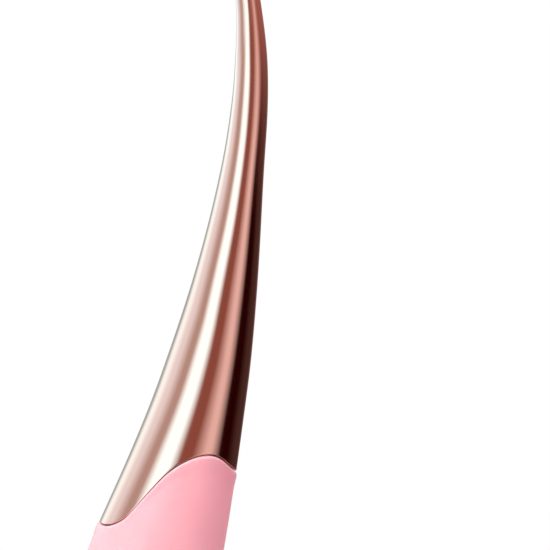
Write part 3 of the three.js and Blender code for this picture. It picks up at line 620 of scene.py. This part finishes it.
def add_bump(made, scale, height, detail=3.0):
    """Fine relief, height in metres."""
    tree = made.node_tree
    bump = add_node(tree, "ShaderNodeBump")
    bump.inputs["Distance"].default_value = height
    tree.links.new(noise(tree, scale, detail), bump.inputs["Height"])
    tree.links.new(bump.outputs["Normal"], tree.nodes["Principled BSDF"].inputs["Normal"])
    return made


def rose_gold():
    made = material("rose_gold_plating", (0.86, 0.50, 0.42), 1.0)
    return vary_roughness(made, 60, 0.1, 0.13)


def soft_silicone(name, color, roughness, reach):
    """Satin silicone that carries light over the reach under its skin, red furthest."""
    made = material(
        name, color, roughness=roughness,
        Subsurface_Weight=1.0, Subsurface_Radius=(1.0, 0.35, 0.3), Subsurface_Scale=reach,
        Specular_IOR_Level=0.45,
    )
    return add_bump(made, 5000, 0.004 * MM)


def frame_plastic():
    return add_bump(material("frame_plastic", (0.80, 0.76, 0.69), roughness=0.45), 3000, 0.01 * MM)


def dark_rubber():
    return add_bump(material("dark_rubber", (0.025, 0.025, 0.027), roughness=0.75), 4000, 0.02 * MM)


def steel():
    return vary_roughness(material("steel", (0.56, 0.57, 0.58), 1.0), 400, 0.2, 0.34)


def weight_metal():
    return vary_roughness(material("weight_metal", (0.18, 0.18, 0.2), 1.0), 600, 0.32, 0.5)


def contact_gold():
    return vary_roughness(material("contact_gold", (0.83, 0.55, 0.2), 1.0), 300, 0.14, 0.26)


def cell_wrap():
    return vary_roughness(material("cell_wrap", (0.03, 0.16, 0.42)), 200, 0.25, 0.4)


def circuit_board():
    made = material("circuit_board", (0.015, 0.16, 0.06), roughness=0.35)
    return add_bump(made, 1500, 0.015 * MM)


def black_plastic():
    return add_bump(material("black_plastic", (0.012, 0.012, 0.013), roughness=0.4), 2500, 0.01 * MM)


def foam():
    return add_bump(material("foam", (0.09, 0.09, 0.095), roughness=0.95), 1800, 0.15 * MM, 6)


def insulation(name, color):
    return vary_roughness(material(name, color), 800, 0.38, 0.5)


def clear_lens():
    made = material(
        "clear_lens", (0.93, 0.93, 0.91), roughness=0.3, Transmission_Weight=0.3, IOR=1.5,
    )
    return vary_roughness(made, 900, 0.26, 0.36)


materials = {
    "rose_gold_plating": rose_gold(),
    "silicone": soft_silicone("silicone", (0.95, 0.49, 0.53), 0.42, 2.5 * MM),
    "brush_silicone": soft_silicone("brush_silicone", (0.96, 0.50, 0.55), 0.4, 0.4 * MM),
    "frame_plastic": frame_plastic(),
    "dark_rubber": dark_rubber(),
    "steel": steel(),
    "weight_metal": weight_metal(),
    "contact_gold": contact_gold(),
    "cell_wrap": cell_wrap(),
    "circuit_board": circuit_board(),
    "black_plastic": black_plastic(),
    "foam": foam(),
    "red_insulation": insulation("red_insulation", (0.55, 0.03, 0.025)),
    "black_insulation": insulation("black_insulation", (0.015, 0.015, 0.016)),
    "clear_lens": clear_lens(),
}


def dress(obj, slot_name):
    """Gives obj its one material."""
    obj.data.materials.clear()
    obj.data.materials.append(materials[slot_name])


def add_piece(obj, slot_name, body, *nodes):
    """Makes obj a piece that rides on a body and stands for CAD nodes."""
    dress(obj, slot_name)
    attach(obj, body)
    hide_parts(*nodes)


def dress_frame():
    """Every carried-over CAD node takes the material of its slot in the record."""
    slots = {row["node"]: row["material_slot"] for row in frame["record"]["subparts"]}
    for name, obj in frame["nodes"].items():
        dress(obj, slots[name])


def build_object():
    sleeve = make_sleeve()
    bores = [
        "power_button", "mode_button", "indicator_window", "charging_contact_1", "charging_contact_2",
    ]
    combine(sleeve, "DIFFERENCE", [pocket_cutter(), *[bore_cutter(node) for node in bores]])
    add_piece(sleeve, "silicone", "casing", "silicone_sleeve")
    add_piece(make_handle(), "rose_gold_plating", "casing", "handle_shell")
    add_piece(make_pad(), "brush_silicone", "casing", "brush_pad")
    power = make_button("power_cap", "power_button", power_sign)
    add_piece(power, "rose_gold_plating", "power_button", "power_button")
    mode = make_button("mode_cap", "mode_button", mode_sign)
    add_piece(mode, "rose_gold_plating", "mode_button", "mode_button")
    window = make_window("light_window", "indicator_window")
    add_piece(window, "clear_lens", "casing", "indicator_window")
    for i in (1, 2):
        contact = make_contact(f"contact_head_{i}", f"charging_contact_{i}")
        add_piece(contact, "contact_gold", "casing", f"charging_contact_{i}")


# Reflection tent round the object, seen only by way of its gloss.
TENT_RADIUS = 70 * MM
TENT_HIGH = 2000 * MM
TENT_SIDES = 256
TENT_LEVEL = 2.4

# Panels of the tent: edges in degrees from the camera towards the picture's right, and light.
PANELS = [
    ("grey end", -180, -142, (0.43, 0.55, 0.53)),
    ("white wall", -125, -114, (1.15, 1.70, 1.82)),
    ("blush wall", -98, -89, (0.93, 1.19, 1.31)),
    ("grey board", -66, -55, (0.53, 0.49, 0.46)),
    ("softbox", -40, -21, (1.3, 2.1, 2.3)),
    ("copper card", -5, 15, (0.295, 0.118, 0.09)),
    ("pale board", 41, 51, (0.90, 0.80, 0.79)),
    ("black flag", 73, 96, (0.02, 0.001, 0.001)),
    ("dark wall", 122, 142, (0.07, 0.036, 0.031)),
    ("brown end", 174, 180, (0.27, 0.17, 0.155)),
]

# Slants of the panels: heights that each runs between, degrees, and directions of its fading.
SLANTS = [
    (120 * MM, 600 * MM, 456, (-53, 73)),
    (158 * MM, 178 * MM, 54, (-53, -20)),
]
SLANT_EDGE = (-160, -97)

# Walls of the tent over and under the panels.
UPPER_WALL = (0.58, 0.26, 0.22)
UPPER_WALL_RISE = (152 * MM, 264 * MM)
LOWER_WALL = (0.9, 0.9, 0.9)
LOWER_WALL_RISE = (40 * MM, 76 * MM)
LOWER_WALL_SHARE = 0.85
LOWER_WALL_SIDE = (20, 50)


def make_tent():
    turn = shares(0, 2 * np.pi, TENT_SIDES)
    rings = [np.stack([TENT_RADIUS * np.cos(turn), TENT_RADIUS * np.sin(turn), 0 * turn + z], axis=-1)
             for z in (0, TENT_HIGH)]
    index = np.arange(2 * TENT_SIDES).reshape(2, TENT_SIDES)
    turned = np.roll(index, -1, axis=1)
    faces = np.stack([index[0], turned[0], turned[1], index[1]], axis=-1).tolist()
    mesh = bpy.data.meshes.new("tent")
    mesh.from_pydata(np.concatenate(rings).tolist(), [], faces)
    tent = bpy.data.objects.new("tent", mesh)
    bpy.context.scene.collection.objects.link(tent)
    tent.rotation_euler.z = CAMERA_AZIMUTH - math.pi / 2
    tent.visible_camera = False
    tent.visible_diffuse = False
    tent.visible_shadow = False
    mesh.materials.append(tent_material())


def tent_material():
    """Light of the panels by direction. Higher up the panels on the left lean sideways, and all of
    them end in a copper wall. Low on the buttons' side the wall is pale."""
    made = bpy.data.materials.new("tent")
    made.use_nodes = True
    tree = made.node_tree
    tree.nodes.clear()
    link = tree.links.new
    place = add_node(tree, "ShaderNodeTexCoord")
    split = add_node(tree, "ShaderNodeSeparateXYZ")
    link(place.outputs["Object"], split.inputs["Vector"])
    height = split.outputs["Z"]
    radial = add_node(tree, "ShaderNodeTexGradient", gradient_type="RADIAL")
    link(place.outputs["Object"], radial.inputs["Vector"])
    turn = radial.outputs["Fac"]
    ramp = add_node(tree, "ShaderNodeValToRGB")
    fill_ramp(ramp.color_ramp)
    link(slanted(tree, turn, height), ramp.inputs["Fac"])
    upper_share = remap(tree, height, UPPER_WALL_RISE, (0, 1), "SMOOTHSTEP")
    upper = wall_mix(tree, upper_share, UPPER_WALL)
    link(ramp.outputs["Color"], upper.inputs["A"])
    behind = remap(tree, turn, [turn_share(end) for end in LOWER_WALL_SIDE], (0, 1))
    below = remap(tree, height, LOWER_WALL_RISE, (LOWER_WALL_SHARE, 0), "SMOOTHSTEP")
    lower = wall_mix(tree, product(tree, behind, below), LOWER_WALL)
    link(upper.outputs["Result"], lower.inputs["A"])
    glow = add_node(tree, "ShaderNodeEmission")
    glow.inputs["Strength"].default_value = TENT_LEVEL
    link(lower.outputs["Result"], glow.inputs["Color"])
    out = add_node(tree, "ShaderNodeOutputMaterial")
    link(glow.outputs["Emission"], out.inputs["Surface"])
    made.cycles.emission_sampling = "NONE"
    return made


def turn_share(degrees):
    """Share of the tent's turn at a direction from the camera."""
    return 0.5 + degrees / 360


def slanted(tree, turn, height):
    """Direction with the slants added to it, none of them at the far left end."""
    edge = remap(tree, turn, [turn_share(end) for end in SLANT_EDGE], (0, 1))
    total = turn
    for start, end, degrees, fade in SLANTS:
        side = remap(tree, turn, [turn_share(place) for place in fade], (1, 0))
        lean = remap(tree, height, (start, end), (0, degrees / 360))
        shear = add_node(tree, "ShaderNodeMath", operation="MULTIPLY_ADD")
        tree.links.new(lean, shear.inputs[0])
        tree.links.new(product(tree, side, edge), shear.inputs[1])
        tree.links.new(total, shear.inputs[2])
        total = shear.outputs["Value"]
    return total


def wall_mix(tree, share, light):
    """Mix of what is linked to its input A with a plain wall."""
    node = add_node(tree, "ShaderNodeMix", data_type="RGBA")
    tree.links.new(share, node.inputs["Factor"])
    node.inputs["B"].default_value = (*[level / TENT_LEVEL for level in light], 1)
    return node


def fill_ramp(ramp):
    """Two stops for each panel, so that neighbours blend between their edges. A ramp holds no
    colour over 1, so each is a share of the tent's level."""
    stops = []
    for _, start, end, light in PANELS:
        color = (*[level / TENT_LEVEL for level in light], 1)
        stops += [(turn_share(start), color), (turn_share(end), color)]
    ramp.elements[0].position, ramp.elements[0].color = stops[0]
    ramp.elements[1].position, ramp.elements[1].color = stops[-1]
    for position, color in stops[1:-1]:
        ramp.elements.new(position).color = color


# Floor
FLOOR_SIDES = 96
FLOOR_RADIUS = 450 * MM
FLOOR_DROP = 0.05 * MM
FLOOR_FADE = (160 * MM, 400 * MM)
FLOOR_SHOWN = (0.86, 0.86, 0.86)
FLOOR_GIVEN = (0.45, 0.45, 0.45)


def make_floor():
    """Pale round floor that keeps the shadow and fades into the white around it. It gives less
    light back than it shows, so that the head's underside stays modelled."""
    turn = shares(0, 2 * np.pi, FLOOR_SIDES)
    points = np.stack([FLOOR_RADIUS * np.cos(turn), FLOOR_RADIUS * np.sin(turn), 0 * turn], axis=-1)
    mesh = bpy.data.meshes.new("floor")
    mesh.from_pydata(points.tolist(), [], [list(range(len(points)))])
    floor = bpy.data.objects.new("floor", mesh)
    floor.location.z = -FLOOR_DROP
    bpy.context.scene.collection.objects.link(floor)
    mesh.materials.append(floor_material())


def floor_material():
    made = material("floor", FLOOR_SHOWN, roughness=0.7)
    tree = made.node_tree
    link = tree.links.new
    shade = add_node(tree, "ShaderNodeMix", data_type="RGBA")
    link(seen_ray(tree), shade.inputs["Factor"])
    shade.inputs["A"].default_value = (*FLOOR_GIVEN, 1)
    shade.inputs["B"].default_value = (*FLOOR_SHOWN, 1)
    link(shade.outputs["Result"], tree.nodes["Principled BSDF"].inputs["Base Color"])
    place = add_node(tree, "ShaderNodeTexCoord")
    length = add_node(tree, "ShaderNodeVectorMath", operation="LENGTH")
    link(place.outputs["Object"], length.inputs[0])
    fade = remap(tree, length.outputs["Value"], FLOOR_FADE, (0, 1), "SMOOTHSTEP")
    glow = add_node(tree, "ShaderNodeEmission")
    mix = add_node(tree, "ShaderNodeMixShader")
    link(product(tree, seen_ray(tree), fade), mix.inputs["Fac"])
    link(tree.nodes["Principled BSDF"].outputs["BSDF"], mix.inputs[1])
    link(glow.outputs["Emission"], mix.inputs[2])
    link(mix.outputs["Shader"], tree.nodes["Material Output"].inputs["Surface"])
    return made


# World and lamps
AMBIENT = 0.35
LAMP_SIZE = 600 * MM
LAMP_DISTANCE = 1000 * MM


def seen_ray(tree):
    """1 for rays that show a surface to the camera, also by way of metal or glass."""
    ray = add_node(tree, "ShaderNodeLightPath")
    mirrored = add_node(tree, "ShaderNodeMath", operation="MAXIMUM")
    tree.links.new(ray.outputs["Is Camera Ray"], mirrored.inputs[0])
    tree.links.new(ray.outputs["Is Glossy Ray"], mirrored.inputs[1])
    seen = add_node(tree, "ShaderNodeMath", operation="MAXIMUM")
    tree.links.new(mirrored.outputs["Value"], seen.inputs[0])
    tree.links.new(ray.outputs["Is Transmission Ray"], seen.inputs[1])
    return seen.outputs["Value"]


def make_world():
    """Even light from all round, and white where the camera, glass or metal looks past the stage."""
    world = bpy.data.worlds.new("studio")
    bpy.context.scene.world = world
    world.use_nodes = True
    tree = world.node_tree
    link = tree.links.new
    level = remap(tree, seen_ray(tree), (0, 1), (AMBIENT, 1))
    background = tree.nodes["Background"]
    background.inputs["Color"].default_value = (1, 1, 1, 1)
    link(level, background.inputs["Strength"])


def add_lamp(name, azimuth, elevation, level, color=(1, 1, 1)):
    """Square lamp that faces the seam, at a direction from the camera in degrees. At level 1 a matt
    surface that faces the lamp shows its own colour."""
    turn, rise = CAMERA_AZIMUTH + math.radians(azimuth), math.radians(elevation)
    away = Vector((math.sin(turn) * math.cos(rise), -math.cos(turn) * math.cos(rise), math.sin(rise)))
    light = bpy.data.lights.new(name, "AREA")
    light.shape = "SQUARE"
    light.size = LAMP_SIZE
    light.energy = level * (math.pi * LAMP_DISTANCE) ** 2
    light.color = color
    lamp = bpy.data.objects.new(name, light)
    bpy.context.scene.collection.objects.link(lamp)
    lamp.location = Vector((0, 0, PARTING_FRONT)) + away * LAMP_DISTANCE
    lamp.rotation_euler = (-away).to_track_quat("-Z", "Y").to_euler()
    lamp.visible_glossy = False


def make_lights():
    """Soft lamps by azimuth, elevation and level. The fill's colour is that of a pink card."""
    add_lamp("key", -48, 15, 0.96)
    add_lamp("fill", 50, 0, 0.3, (1, 0.06, 0.3))
    add_lamp("top light", 20, 75, 0.7)
    add_lamp("back light", 172, 20, 1.15)


def make_camera():
    azimuth, elevation, roll = CAMERA_AZIMUTH, CAMERA_ELEVATION, CAMERA_ROLL
    back = Vector((
        math.sin(azimuth) * math.cos(elevation),
        -math.cos(azimuth) * math.cos(elevation),
        math.sin(elevation),
    ))
    level_right = Vector((math.cos(azimuth), math.sin(azimuth), 0))
    level_up = back.cross(level_right)
    right = level_right * math.cos(roll) + level_up * math.sin(roll)
    up = back.cross(right)
    target = level_right * VIEW_SIDE + Vector((0, 0, VIEW_HEIGHT))
    distance = VIEW_WIDTH * CAMERA_LENS_MILLIMETRES / SENSOR_WIDTH_MILLIMETRES
    data = bpy.data.cameras.new("camera")
    data.lens = CAMERA_LENS_MILLIMETRES
    data.sensor_width = SENSOR_WIDTH_MILLIMETRES
    data.clip_start = CAMERA_NEAR_LIMIT
    camera = bpy.data.objects.new("camera", data)
    bpy.context.scene.collection.objects.link(camera)
    facing = Matrix((right, up, back)).transposed().to_4x4()
    camera.matrix_world = Matrix.Translation(target + back * distance) @ facing
    bpy.context.scene.camera = camera


dress_frame()
build_object()
make_tent()
make_floor()
make_world()
make_lights()
make_camera()
bpy.context.scene.view_settings.view_transform = "Standard"
